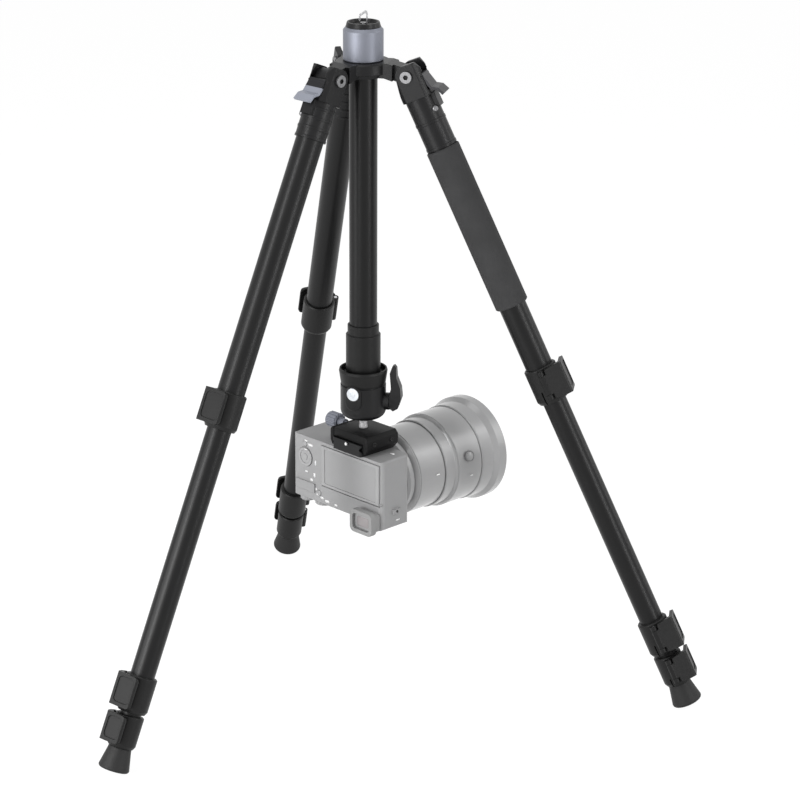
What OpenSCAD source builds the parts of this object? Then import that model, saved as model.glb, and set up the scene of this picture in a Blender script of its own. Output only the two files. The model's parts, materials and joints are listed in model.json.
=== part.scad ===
// A small camera hanging under a travel tripod whose centre column is
// reversed. Each leg has four tubes, three flip locks and a sprung stop tab;
// the ball head on the end of the column carries the camera by its plate.
// The origin is the floor point under the column, +Z is up. Millimetres.

/* [Stance] */
// Angle of every leg from vertical, at its first stop
leg_tilt = 25; // [22:0.5:28]
// Turn of the first leg about the column
leg_turn = -15; // [-60:1:60]
// Distance from the column axis to a leg's hinge
hinge_r = 42.5; // [41:0.5:50]

/* [Leg tubes] */
// Outside diameter of the upper tube
upper_tube_d = 25; // [23:0.5:27]
// Wall of every leg tube
tube_wall = 1.25; // [0.9:0.05:1.3]
// Step in diameter from one tube to the next
tube_step = 3; // [2.8:0.1:3.4]
// Distance along the leg from the hinge to the first lock
upper_len = 287.5; // [250:1:330]
// Visible length of the middle tube between its locks
middle_show = 226.7; // [200:1:260]
// Length of the foam grip on the first leg
grip_len = 155; // [100:1:185]
// Outside diameter of the foam grip
grip_d = 30.5; // [29.5:0.5:34]

/* [Flip locks] */
// Height of the upper lock's body
upper_lock_h = 33.7; // [31:0.1:40]
// Height of the middle lock's body
middle_lock_h = 33; // [31:0.1:40]
// Height of the lower lock's body
lower_lock_h = 29.5; // [28:0.1:38]
// Wall of the upper lock round its tube
lock_wall = 2.5; // [2.2:0.1:3.5]
// How much thicker each lower lock's wall is
lock_wall_step = 0.5; // [0:0.1:0.8]
// Gap between the middle and lower locks
lock_gap = 2.6; // [1.5:0.1:6]
// How far a lever's pad stands off its lock body
pad_stand = 6.3; // [5.6:0.1:8]
// Thickness of a lever's plate
lever_t = 3; // [2.4:0.1:3.6]
// Diameter of a lever's hinge pin
lever_pin_d = 3; // [2.4:0.1:3.4]

/* [Feet] */
// Length of a rubber foot below the lower lock
foot_len = 21.5; // [18:0.5:30]
// Radius of a foot's sole
foot_r = 14; // [12.5:0.5:18]

/* [Shoulders] */
// Width of a leg's fork across its ears
fork_w = 28; // [26:0.5:32]
// Width of the crown's tongue between the ears
tongue_w = 16; // [14:0.5:17]
// Radius of the tongue's round end
tongue_r = 8.5; // [8:0.1:8.8]
// Radius of a shoulder's sleeve
sleeve_r = 14.3; // [14:0.1:16]
// Diameter of a hinge bolt
bolt_d = 6; // [5:0.5:7]
// Width of a stop tab
tab_w = 20; // [18.5:0.5:21]

/* [Crown and column] */
// Radius of the crown's hub
hub_r = 24.5; // [23:0.5:26]
// Height of the hub's top over the hinges
hub_top = 10.6; // [10:0.2:13]
// Outside diameter of the centre column
column_d = 25.4; // [22:0.2:26]
// Wall of the centre column
column_wall = 1.5; // [1:0.1:2]
// Visible length of the column from its cap to the head's socket
column_show = 274.5; // [260:1:290]
// Radius of the twist collar
collar_r = 18; // [17.4:0.1:20]
// Height of the twist collar
collar_h = 29.8; // [24:0.2:34]

/* [Ball head] */
// Radius of the socket that holds the column's end
socket_r = 15.9; // [15:0.1:16.2]
// Height of the socket
socket_h = 45.6; // [36:0.2:50]
// Radius of the panning base at its rim
pan_r = 22.4; // [21.6:0.1:24]
// Height of the panning base
pan_h = 14; // [12:0.5:16]
// Radius of the ball's housing
housing_r = 21; // [20.6:0.1:23]
// Height of the ball's housing
housing_h = 32.6; // [32:0.2:36]
// Radius of the ball
ball_r = 15; // [14:0.1:15.2]
// Direction of the head's locking lever about the column
lever_turn = -10; // [-30:1:10]

/* [Clamp and plate] */
// Direction of the camera's wide side about the column
camera_turn = -46.4; // [-50:0.2:-42]
// Width of the dovetail plate
plate_w = 38; // [36:0.5:40]
// Length of the dovetail plate
plate_len = 44; // [40:0.5:52]
// Length of the clamp along the dovetail
clamp_len = 39; // [36:0.5:46]
// Height of the clamp
clamp_h = 21; // [20:0.2:24]
// Radius of the clamp's knob
knob_r = 7.5; // [6.5:0.1:9]

/* [Camera] */
// Width of the camera's body
body_w = 120; // [116:1:130]
// Height of the camera's body without the viewfinder's step
body_h = 61.3; // [60:0.1:66]
// Depth of the camera's body behind the lens
body_d = 36; // [34:0.5:42]
// Distance from the tripod screw to the body's near end
body_near = 43; // [42:0.5:48]
// Depth of the hand grip in front of the body
grip_out = 22; // [16:0.5:26]
// Width of the screen's panel
screen_w = 77; // [70:0.5:80]
// Height of the screen's panel
screen_h = 40; // [36:0.5:42]

/* [Lens] */
// Distance from the body's underside to the lens axis
lens_drop = 33.5; // [31:0.1:35]
// Length of the lens in front of its mount
lens_len = 121.5; // [112:0.5:130]
// Radius of the barrel behind the zoom ring
barrel_r = 36.5; // [35:0.1:38]
// Radius of the zoom ring
zoom_r = 41; // [40:0.1:42]
// Radius of the focus ring
focus_r = 45; // [44:0.1:46]
// Radius of the lens's front rim
front_r = 50; // [48:0.1:52]
// Diameter of the filter thread
filter_d = 82; // [77:1:84]

/* [Hidden] */
$fn = 64;
fit = 0.05;          // radial clearance of a running or glued fit
gap = 0.3;           // clearance between faces that pass each other
SIDE = ["a", "b", "c"];

anodised = [0.16, 0.16, 0.17];
casting = [0.1, 0.1, 0.11];
plastic = [0.12, 0.12, 0.12];
steel = [0.6, 0.6, 0.6];
silver = [0.6, 0.62, 0.67];
rubber = [0.15, 0.15, 0.15];
foam = [0.26, 0.26, 0.26];
shell = [0.6, 0.6, 0.6];
trim = [0.66, 0.66, 0.66];

// Legs: distances along a leg are counted down from its hinge
tube_r = [for (k = [0:3]) (upper_tube_d - k * tube_step) / 2];
lock_h = [upper_lock_h, middle_lock_h, lower_lock_h];
lock_r = [for (k = [0:2]) tube_r[k] + lock_wall + k * lock_wall_step];
lock_t = [upper_len, upper_len + lock_h[0] + middle_show,
          upper_len + lock_h[0] + middle_show + lock_h[1] + lock_gap];
lock_end = [for (k = [0:2]) lock_t[k] + lock_h[k]];
sole_t = lock_end[2] + foot_len;
foot_edge = 2.5;
hinge_z = sole_t * cos(leg_tilt) + (foot_r - foot_edge) * sin(leg_tilt)
          + foot_edge * (1 - cos(leg_tilt));
tube_overlap = 42;   // length of a tube inside the one above, when drawn out
tube_seat = 18;      // length of a tube inside its lock
nest_step = 30;      // each nested tube starts this much lower
middle_top = lock_t[0] + tube_seat - tube_overlap;
lower_top = middle_top + nest_step;
foot_top = lower_top + nest_step;
head_r = 10;         // radius of a shoulder's round head
slot_t = 13.4;       // depth of a fork's slot below the hinge
tube_top = 24;       // where the upper tube starts inside its shoulder
sleeve_end = [70, 55.6, 55.6];
grip_top = sleeve_end[0] + 1.1;
tab_pin = [11.2, -5.2];
tab_pin_r = 1.2;
lever_turn_in = -78; // where a lever's pin stands, from straight outwards
pad_turn = 8;        // where a lever's pad faces, from straight outwards

// Column: heights over the floor
hub_z = hinge_z + hub_top;
cap_z = hub_z + collar_h;
cap_h = 4.1;
column_r = column_d / 2;
socket_z = cap_z - column_show;
seat_z = socket_z - socket_h;
pan_z = seat_z + 3.4 - pan_h;
housing_z = pan_z - 0.4 - housing_h;
ball_z = housing_z + 12.2;
clamp_z = housing_z - 8;
body_z = clamp_z - clamp_h - 2;
top_z = body_z - body_h;
lens_z = body_z - lens_drop;
neck_r = column_r + 2.8;

function leg_turn_of(i) = leg_turn + 120 * i;

module leg_frame(i) {
    rotate([0, 0, leg_turn_of(i)]) translate([hinge_r, 0, hinge_z])
        rotate([0, -leg_tilt, 0]) children();
}
// A profile drawn in the XZ plane, as a slab with that profile
module slab(w) { rotate([90, 0, 0]) linear_extrude(w, center = true) children(); }
// A cylinder from one distance along the leg to another
module along(r, t0, t1) { translate([0, 0, -t1]) cylinder(r = r, h = t1 - t0); }
module along_cone(r0, r1, t0, t1) { translate([0, 0, -t1]) cylinder(r1 = r1, r2 = r0, h = t1 - t0); }
module rounded(w, h, r) {
    square([w - 2 * r, h], center = true);
    square([w, h - 2 * r], center = true);
    for (x = [-1, 1], y = [-1, 1]) translate([x * (w / 2 - r), y * (h / 2 - r)]) circle(r);
}
// A disc with n round flutes in its rim
module fluted(r, h, n, flute_r) {
    linear_extrude(h) difference() {
        circle(r);
        for (k = [0:n - 1]) rotate(k * 360 / n) translate([r + flute_r * 0.4, 0]) circle(flute_r, $fn = 16);
    }
}

// ---- Legs ----
module fork_outline() {
    circle(head_r);
    polygon([[-head_r, 0], [0.4 - sleeve_r, -16], [0.4 - sleeve_r, -22], [sleeve_r - 0.3, -22],
             [sleeve_r - 0.3, 3], [sleeve_r - 3.6, head_r - 0.6], [0, head_r]]);
}
module shoulder(i) {
    end = sleeve_end[i];
    rings = i == 0 ? [45.4, end - 1.1] : [28.3, 37.1, 45.9, end - 1.1];
    leg_frame(i) color(casting) {
        difference() {
            union() {
                intersection() {
                    slab(fork_w) fork_outline();
                    along(sleeve_r + 2.4, -head_r, 24);
                }
                along(sleeve_r - 0.4, slot_t, end);
                for (t = rings) along(sleeve_r, t - 1.1, t + 1.1);
                translate([0, 0, -28.5]) slab(13) translate([6, -7])
                    square([sleeve_r - 4.5, 14]);
            }
            slab(tongue_w + 2 * gap) translate([-20, -slot_t]) square([40, 30]);
            rotate([90, 0, 0]) cylinder(r = bolt_d / 2 + fit, h = 40, center = true);
            along(tube_r[0] + fit, tube_top - 0.1, end + 1);
            slab(tab_w + 2 * gap) translate([8, -17.6]) square([10, 16.6]);
        }
        at_tab_pin() cylinder(r = tab_pin_r, h = tab_w + 4, center = true);
    }
}
module at_tab_pin() { translate([tab_pin[0], 0, tab_pin[1]]) rotate([90, 0, 0]) children(); }
// A sprung tab: its nose rests under the crown's step, its lip is pulled to let the leg pass
module stop_tab(i) {
    leg_frame(i) color(silver) difference() {
        union() {
            at_tab_pin() cylinder(r = 2.7, h = tab_w, center = true);
            slab(tab_w) polygon([[13.6, -5.5], [16.6, -16.5], [21.8, -19.5], [25, -26],
                                 [22.7, -26.9], [20.3, -21.4], [14.9, -18.2], [11.2, -7.6]]);
            slab(tongue_w) polygon([[6.9, -6], [10.5, -3.6], [11, -7.2], [8.2, -7.8]]);
        }
        at_tab_pin() cylinder(r = tab_pin_r + fit, h = tab_w + 2, center = true);
    }
}
module leg_tube(k, t0, t1) {
    color(anodised) difference() {
        along(tube_r[k], t0, t1);
        along(tube_r[k] - tube_wall, t0 - 1, t1 + 1);
    }
}
// The plastic bush on a tube's hidden upper end, which steadies it
module bush(k, t0) {
    color(plastic) difference() {
        along(tube_r[k - 1] - tube_wall - fit, t0 - 1.5, t0 + 12);
        along(tube_r[k] - tube_wall, t0 - 2, t0 + 13);
        along(tube_r[k] + 0.02, t0 - 0.02, t0 + 13);
    }
}
function lever_pin_r(k) = lock_r[k] + 2.6;
module at_lever_pin(k) {
    rotate([0, 0, lever_turn_in]) translate([lever_pin_r(k), 0, 0]) children();
}
lug_h = 4.2;         // height of the lugs that hold a lever's pin
lug_t = 1.4;         // the upper lug starts this far below the lock's top
function barrel_t(k) = lug_t + lug_h;
function barrel_end(k) = lock_h[k] - 9;
module flip_clamp(k) {
    t0 = lock_t[k];
    t1 = lock_end[k];
    color(plastic) difference() {
        union() {
            along(lock_r[k], t0 + 1, t1 - 3);
            along_cone(lock_r[k] - 1, lock_r[k], t0, t0 + 1);
            along_cone(lock_r[k], lock_r[k] - 1.6, t1 - 3, t1);
            translate([0, 0, -t0 - barrel_end(k) - lug_h]) linear_extrude(barrel_end(k) + lug_h - lug_t) {
                at_lever_pin(k) circle(3);
                rotate(lever_turn_in) translate([lock_r[k] - 2, -2.4]) square([4.6, 4.8]);
            }
        }
        along(tube_r[k] + fit, t0 - 1, t0 + tube_seat + gap);
        along(tube_r[k + 1] + fit, t0, t1 + 1);
        translate([0, 0, -t0 - barrel_end(k)]) at_lever_pin(k)
            cylinder(r = 3.8, h = barrel_end(k) - barrel_t(k));
        translate([0, 0, -t1 - 1]) at_lever_pin(k) cylinder(r = lever_pin_d / 2 + 0.02, h = lock_h[k] + 2);
        // slit that lets the lever squeeze the body on the inner tube
        rotate([0, 0, lever_turn_in - 25]) translate([tube_r[k + 1] - 2, -0.6, -t1 - 1])
            cube([10, 1.2, lock_h[k] - tube_seat - 2]);
    }
    color(steel) translate([0, 0, -t0 - barrel_end(k) - lug_h]) at_lever_pin(k)
        cylinder(r = lever_pin_d / 2, h = barrel_end(k) - lug_t + lug_h);
}
// Plan of a lever, looking down the leg: barrel, arm and flat pad
module lever_plan(k) {
    face = lock_r[k] + pad_stand;
    half = lock_r[k] * 0.8;
    barrel = lever_pin_r(k) * [cos(lever_turn_in - pad_turn), sin(lever_turn_in - pad_turn)];
    rotate(pad_turn) difference() {
        union() {
            translate(barrel) circle(3.1);
            polygon([barrel + [0.6, -3], [face - 1.5, -half - 1], [face, -half], [face, half - 1.5],
                     [face - 1.2, half], [face - lever_t, half], [face - lever_t, -half + 4],
                     [lock_r[k] * 0.8, -lock_r[k] * 0.85], barrel + [-0.4, 3]]);
        }
        circle(lock_r[k] + 0.5);
    }
}
module lever(k) {
    t0 = lock_t[k];
    h = lock_h[k] - 3.2;
    width = lock_r[k] * 1.6;
    color(plastic) difference() {
        intersection() {
            translate([0, 0, -t0 - h]) linear_extrude(h) lever_plan(k);
            rotate([0, 0, pad_turn]) translate([0, -4, -t0 - h / 2 - gap]) rotate([90, 0, 90])
                linear_extrude(60, center = true) rounded(width + 8, h - 0.4, 4.5);
        }
        // room for the lugs above and below the barrel
        for (span = [[-1, barrel_t(k) + gap], [barrel_end(k) - gap, lock_h[k]]])
            translate([0, 0, -t0 - span[1]]) linear_extrude(span[1] - span[0])
                at_lever_pin(k) circle(4.4);
        translate([0, 0, -t0 - lock_h[k]]) at_lever_pin(k) cylinder(r = lever_pin_d / 2 + fit, h = lock_h[k] + 1);
        // shallow finger recess that leaves a raised rim on the pad
        rotate([0, 0, pad_turn]) translate([lock_r[k] + pad_stand - 0.9, 0, -t0 - h / 2])
            rotate([90, 0, 90]) linear_extrude(4) rounded(width - 5.5, h - 7, 3.5);
    }
}
module upper_tube(i) { leg_frame(i) leg_tube(0, tube_top, lock_t[0] + tube_seat); }
module upper_clamp(i) { leg_frame(i) flip_clamp(0); }
module flip_lever(i, k) { leg_frame(i) lever(k); }
module middle_section(i) {
    leg_frame(i) {
        leg_tube(1, middle_top, lock_t[1] + tube_seat);
        bush(1, middle_top);
        flip_clamp(1);
    }
}
module lower_section(i) {
    leg_frame(i) {
        leg_tube(2, lower_top, lock_t[2] + tube_seat);
        bush(2, lower_top);
        flip_clamp(2);
    }
}
module foot_section(i) {
    boot_t = lock_end[2] + 0.4;
    leg_frame(i) {
        leg_tube(3, foot_top, sole_t - 8);
        bush(3, foot_top);
        color(rubber) translate([0, 0, -sole_t]) rotate_extrude() {
            difference() {
                union() {
                    polygon([[0, 0], [foot_r - foot_edge, 0], [foot_r, foot_edge],
                             [10.8, sole_t - boot_t - 3], [10.3, sole_t - boot_t], [0, sole_t - boot_t]]);
                    translate([foot_r - foot_edge, foot_edge]) circle(foot_edge);
                }
                translate([0, 8 - fit]) square([tube_r[3] + fit, sole_t]);
                translate([-2 * foot_r, -foot_r]) square([2 * foot_r, 4 * foot_r]);
            }
        }
    }
}
module foam_grip() {
    leg_frame(0) color(foam) difference() {
        union() {
            along(grip_d / 2, grip_top + 1, grip_top + grip_len - 1);
            along_cone(grip_d / 2 - 1, grip_d / 2, grip_top, grip_top + 1);
            along_cone(grip_d / 2, grip_d / 2 - 1, grip_top + grip_len - 1, grip_top + grip_len);
        }
        along(tube_r[0] + fit, grip_top - 1, grip_top + grip_len + 1);
    }
}

// ---- Crown and column ----
module arm_outline() {
    polygon([[neck_r - 1, hub_top], [hub_r, hub_top], [hinge_r - 6, 7.6], [hinge_r, tongue_r],
             [hinge_r, -tongue_r], [hinge_r - 5, -7.4], [hub_r - 2.5, -2.7], [neck_r - 1, -2.7]]);
}
step_turn = 34;      // where the stop step starts, below a leg's outward side
module tongue_step() {
    // the raised step that a stop tab's nose rests under
    translate([hinge_r, 0]) intersection() {
        circle(tongue_r + 0.9);
        rotate(leg_tilt - step_turn) polygon([[0, 0], [20, 0], [20, 20], [-2, 20]]);
    }
}
module crown() {
    color(casting) difference() {
        union() {
            translate([0, 0, hub_z]) rotate_extrude() polygon([
                [column_r - 1, 16], [neck_r - 1, 16], [neck_r, 15], [neck_r, 0], [hub_r - 1.5, 0],
                [hub_r, -1.5], [hub_r, -9.8], [hub_r - 2.4, -10.6], [hub_r - 3.2, -13.3],
                [column_r - 1, -13.3]]);
            for (i = [0:2]) rotate([0, 0, leg_turn_of(i)]) translate([0, 0, hinge_z]) {
                slab(tongue_w) arm_outline();
                slab(tongue_w) translate([hinge_r, 0]) circle(tongue_r);
                slab(tongue_w) tongue_step();
                slab(25) intersection() {
                    arm_outline();
                    translate([0, -20]) square([hinge_r - head_r - 3, 40]);
                }
            }
        }
        translate([0, 0, hub_z - 40]) cylinder(r = column_r + fit, h = 80);
        for (i = [0:2]) rotate([0, 0, leg_turn_of(i)]) translate([hinge_r, 0, hinge_z])
            rotate([90, 0, 0]) cylinder(r = bolt_d / 2 + 0.02, h = 60, center = true);
    }
}
module hinge_bolts() {
    color(steel) for (i = [0:2]) rotate([0, 0, leg_turn_of(i)]) translate([hinge_r, 0, hinge_z])
        rotate([90, 0, 0]) difference() {
            union() {
                cylinder(r = bolt_d / 2, h = fork_w + 2, center = true);
                for (s = [-1, 1]) translate([0, 0, s * (fork_w / 2 + 1.1)])
                    cylinder(r = 5.3, h = 1.9, center = true);
            }
            for (s = [-1, 1]) translate([0, 0, s * (fork_w / 2 + 2)])
                cylinder(r = 2.3, h = 2.6, center = true, $fn = 6);
        }
}
module twist_collar() {
    color(silver) translate([0, 0, hub_z]) rotate_extrude() polygon([
        [neck_r + fit, 0.1], [collar_r - 0.8, 0.1], [collar_r, 0.9], [collar_r, collar_h - 2.8],
        [collar_r - 2.3, collar_h - 0.1], [column_r + 0.5, collar_h - 0.1], [column_r + 0.5, collar_h - 7],
        [neck_r + fit, collar_h - 10]]);
}
module column_tube() {
    color(anodised) translate([0, 0, seat_z + 16]) difference() {
        cylinder(r = column_r, h = cap_z - seat_z - 15.9);
        translate([0, 0, -1]) cylinder(r = column_r - column_wall, h = cap_z);
    }
}
plug_r = column_r - column_wall - fit;
hook_r = 1.7;
hook_lift = 10;
module column_cap() {
    color(casting) translate([0, 0, cap_z + 0.1]) rotate_extrude() polygon([
        [hook_r + fit, -10], [plug_r - 1, -10], [plug_r, -9], [plug_r, 0], [collar_r - 2.3, 0],
        [collar_r - 2.6, 1], [collar_r - 3.5, cap_h], [collar_r - 5, cap_h], [collar_r - 6.3, 1.6],
        [hook_r + fit, 1.6]]);
}
module weight_hook() {
    base = cap_z + 1.6 + gap;
    color(steel) {
        translate([0, 0, cap_z - 12 - hook_lift]) cylinder(r = hook_r, h = base - cap_z + 12.5 + hook_lift);
        translate([0, 0, cap_z - 13.5 - hook_lift]) cylinder(r = 5, h = 1.8);
        translate([0, 0, base]) slab(2.4) difference() {
            polygon([[-3.2, 0], [3.4, 0], [4, 1.4], [4, 9.2], [3, 12], [1.6, 12], [-3.8, 8.4], [-3.8, 1]]);
            polygon([[-2.3, 1.7], [2.5, 1.7], [2.5, 8.8], [1.9, 10.1], [-2.3, 7.4]]);
        }
    }
}
stud_r = 4.75;
module column_socket() {
    color(plastic) translate([0, 0, seat_z]) rotate_extrude() polygon([
        [0, -9], [stud_r, -9], [stud_r, 0.1], [socket_r - 0.8, 0.1], [socket_r, 0.9],
        [socket_r, socket_h - 9.6], [socket_r - 0.6, socket_h - 9], [socket_r - 1.5, socket_h - 9],
        [socket_r - 1.5, socket_h - 0.6], [socket_r - 2.1, socket_h], [column_r + fit, socket_h],
        [column_r + fit, 16 - fit], [0, 16 - fit]]);
}
spigot_r = 14;
module pan_base() {
    color(plastic) translate([0, 0, pan_z]) rotate_extrude() polygon([
        [stud_r + fit, -4], [spigot_r, -4], [spigot_r, 0], [pan_r - 1.9, 0], [pan_r - 1.5, 2],
        [pan_r, pan_h - 2], [pan_r - 0.6, pan_h], [pan_r - 1.8, pan_h], [pan_r - 2.6, pan_h - 5.4],
        [socket_r + 1, pan_h - 6.4], [socket_r + 0.6, pan_h - 3.4], [stud_r + fit, pan_h - 3.4]]);
}

// ---- Ball head ----
lever_z = ball_z + 3.5;
lever_at = housing_r + 4;
level_r = 6.5;
level_z = ball_z + 6.8;
level_turn = -117;
housing_edge = 8;    // round of the housing's lower edge
module toward(turn, z) { rotate([0, 0, turn]) translate([0, 0, z]) rotate([0, 90, 0]) children(); }
module ball_housing() {
    color(plastic) difference() {
        union() {
            translate([0, 0, housing_z]) rotate_extrude() {
                square([housing_r - housing_edge, housing_h]);
                translate([0, housing_edge]) square([housing_r, housing_h - housing_edge - 1]);
                translate([0, housing_edge]) square([housing_r - 1, housing_h - housing_edge]);
                intersection() {
                    translate([housing_r - housing_edge, housing_edge]) circle(housing_edge);
                    square([housing_r, housing_edge + 1]);
                }
            }
            toward(lever_turn, lever_z) cylinder(r = 8, h = lever_at - 0.4);
        }
        translate([0, 0, ball_z]) sphere(r = ball_r + fit);
        translate([0, 0, housing_z - 1]) cylinder(r = 12.9, h = 8);
        translate([0, 0, housing_z - 1]) cylinder(r1 = 15.4, r2 = 12.9, h = 2.5);
        translate([0, 0, pan_z - 4.2]) cylinder(r = spigot_r + fit, h = 10);
        toward(lever_turn, lever_z) cylinder(r = 3 + fit, h = 60);
        toward(level_turn, level_z) translate([0, 0, housing_r - 2.4]) cylinder(r = level_r + 0.1, h = 10);
    }
}
module bubble_level() {
    color("white") toward(level_turn, level_z) translate([0, 0, housing_r - 2.3]) {
        cylinder(r = level_r, h = 2.3);
        translate([0, 0, 2.3]) cylinder(r1 = level_r, r2 = level_r - 0.8, h = 0.6);
    }
}
// The wing lever: its hub turns on the locking screw, its wing points up
module ball_lock_lever() {
    color(casting) rotate([0, 0, lever_turn]) translate([0, 0, lever_z]) {
        rotate([0, 90, 0]) translate([0, 0, ball_r + 0.8]) cylinder(r = 3, h = lever_at - ball_r);
        rotate([0, 90, 0]) translate([0, 0, lever_at]) cylinder(r1 = 7.6, r2 = 6.4, h = 7);
        intersection() {
            slab(13) translate([lever_at, 0]) polygon([
                [0, -5], [3.6, -7.6], [8, -5], [11, 4], [10.2, 14], [6.6, 24], [6.2, 33],
                [4.4, 35.6], [2.4, 34.4], [0.2, 28], [1.6, 14], [0, 7]]);
            rotate([90, 0, 90]) linear_extrude(80) polygon([
                [-6.4, -9], [6.4, -9], [6.4, 8], [4, 30], [2, 37], [-2, 37], [-4, 30], [-6.4, 8]]);
        }
    }
}
module ball() { color(steel) translate([0, 0, ball_z]) sphere(r = ball_r); }
module ball_stem() {
    color(steel) difference() {
        union() {
            translate([0, 0, clamp_z]) cylinder(r1 = 6.6, r2 = 7.6, h = 12);
            translate([0, 0, clamp_z + 0.1]) cylinder(r = 9, h = 1.6);
            translate([0, 0, clamp_z - 7]) cylinder(r = 3, h = 8);
        }
        translate([0, 0, ball_z]) sphere(r = ball_r + 0.1);
    }
}

// ---- Clamp and plate, in the camera's frame: X along its width, Y to the lens ----
module camera_frame() { rotate([0, 0, camera_turn]) children(); }
plate_z = body_z;
plate_h = 11.2;
tooth_z = plate_z + 6.8;
half_w = plate_w / 2;
jaw_t = 4.5;
screw_z = clamp_z - 5.8;
// Inner side of a jaw: a tooth that fits the plate's groove
module jaw_outline(depth) {
    polygon([[half_w + gap, 0], [half_w + gap + depth - 1.5, 0], [half_w + gap + depth, 1.5],
             [half_w + gap + depth, clamp_h - 2], [half_w + gap + depth - 2, clamp_h],
             [half_w + gap - 3, clamp_h], [half_w + gap - 3, plate_h - 1.6],
             [half_w + gap, plate_h - 1.6], [half_w + gap, plate_h - 4],
             [half_w - 1.7, 4.8], [half_w + gap, 2.4]]);
}
module clamp_body() {
    camera_frame() color(casting) difference() {
        intersection() {
            translate([0, 0, clamp_z - clamp_h]) slab(clamp_len) {
                jaw_outline(7.2);
                polygon([[-half_w, plate_h - 1.6], [half_w, plate_h - 1.6],
                         [half_w, clamp_h], [1.5 - half_w, clamp_h], [-half_w, clamp_h - 1.5]]);
            }
            translate([3.5, 0, 0]) linear_extrude(400) rounded(plate_w + 16, clamp_len, 4);
        }
        translate([0, 0, clamp_z - 9]) cylinder(r = 3.02, h = 20);
        translate([0, 0, screw_z]) rotate([0, -90, 0]) cylinder(r = 2.5 + fit, h = 60);
        for (y = [-13, 13]) translate([0, y, screw_z]) rotate([0, -90, 0]) cylinder(r = 1.5 + fit, h = 60);
    }
}
module clamp_jaw() {
    camera_frame() color(casting) difference() {
        union() {
            intersection() {
                translate([0, 0, clamp_z - clamp_h]) mirror([1, 0, 0]) slab(clamp_len) intersection() {
                    jaw_outline(jaw_t);
                    translate([half_w - 1.8, -1]) polygon([[0, 0], [20, 0], [20, 60],
                        [1.8 + gap, 60], [1.8 + gap, plate_h - 4], [0, plate_h - 4]]);
                }
                translate([-3.5, 0, 0]) linear_extrude(400) rounded(plate_w + 10.2, clamp_len, 4);
            }
            for (y = [-13, 13]) translate([-half_w - 1, y, screw_z]) rotate([0, 90, 0])
                cylinder(r = 1.5, h = 13);
        }
        translate([0, 0, screw_z]) rotate([0, -90, 0]) cylinder(r = 2.5 + fit, h = 60);
    }
}
knob_at = half_w + gap + jaw_t;
module clamp_knob() {
    camera_frame() color(silver) translate([0, 0, screw_z]) rotate([0, -90, 0]) {
        translate([0, 0, 4]) cylinder(r = 2.5, h = knob_at);
        translate([0, 0, knob_at + 0.1]) cylinder(r = 4.2, h = 8);
        translate([0, 0, knob_at + 7]) cylinder(r = knob_r - 1, h = 14);
        translate([0, 0, knob_at + 8.2]) fluted(knob_r, 11.6, 14, 1.1);
    }
}
module release_plate() {
    camera_frame() {
        color(plastic) difference() {
            intersection() {
                translate([0, 0.5, plate_z]) slab(plate_len) polygon([
                    [-half_w, 0.1], [half_w, 0.1], [half_w, 4.2], [half_w - 2.3, 6.1], [half_w - 2.3, 7.2],
                    [half_w, 9.3], [half_w, plate_h - 0.4], [half_w - 0.4, plate_h], [0.4 - half_w, plate_h],
                    [-half_w, plate_h - 0.4], [-half_w, 9.3], [2.3 - half_w, 7.2], [2.3 - half_w, 6.1],
                    [-half_w, 4.2]]);
                translate([0, 0.5, 0]) linear_extrude(400) rounded(plate_w, plate_len, 2.5);
            }
            translate([0, 0, plate_z - 1]) cylinder(r = 3.25, h = 30);
            translate([0, 0, plate_z + 6]) cylinder(r = 8.2, h = 10);
        }
        color(steel) {
            difference() {
                union() {
                    translate([0, 0, plate_z - 5.5]) cylinder(r = 3.17, h = 12);
                    translate([0, 0, plate_z + 6.1]) cylinder(r = 8, h = 4.3);
                }
                translate([-1, -9, plate_z + 8.8]) cube([2, 18, 4]);
            }
            translate([0.5, 0.5 - plate_len / 2, plate_z + 9.2]) rotate([90, 0, 0])
                cylinder(r = 1.2, h = 1);
        }
    }
}

// ---- Camera ----
back_y = -body_d / 2;
front_y = body_d / 2;
far_x = body_near - body_w;
finder_w = 35;
finder_h = 5.7;
mount_r = 32.5;
mount_t = 2.5;
screen_x = body_near - 3 - screen_w / 2;
screen_z = body_z - 3.6 - screen_h / 2;
wheel_at = [far_x + 17.5, body_z - 20.5];
wheel_r = 9.2;
menu_at = [far_x + 36, body_z - 52];
play_at = [far_x + 17, body_z - 7.5];
mode_at = [far_x + 30, back_y + 12.5];
mode_r = 9;
exposure_at = [far_x + 12, back_y + 8.5];
exposure_r = 7.5;
shutter_at = [far_x + 14, front_y + grip_out - 10];
shutter_r = 5;
module body_plan() {
    translate([body_near - body_w / 2, 0]) rounded(body_w, body_d, 5);
    // the hand grip at the far end
    translate([far_x + 13, front_y + grip_out - 13]) circle(13);
    translate([far_x, -2]) square([26, front_y + grip_out - 11]);
    polygon([[far_x + 25, front_y - 1], [far_x + 36, front_y - 1], [far_x + 25.8, front_y + grip_out - 11]]);
}
module body_side() {
    // seen from the lens side: chamfered long edges
    polygon([[far_x, 2.5 - body_h], [far_x + 2.5, -body_h], [body_near - finder_w - 6, -body_h],
             [body_near - finder_w, -body_h - finder_h], [body_near - 2, -body_h - finder_h],
             [body_near, 2 - body_h - finder_h], [body_near, -1.5], [body_near - 1.5, 0],
             [far_x + 2, 0], [far_x, -2]]);
}
module back_hole(at, r, depth) {
    translate([at[0], back_y - 5, at[1]]) rotate([-90, 0, 0]) cylinder(r = r, h = depth + 5);
}
module top_hole(at, r, depth) {
    translate([at[0], at[1], top_z - 5]) cylinder(r = r, h = depth + 5);
}
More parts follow.
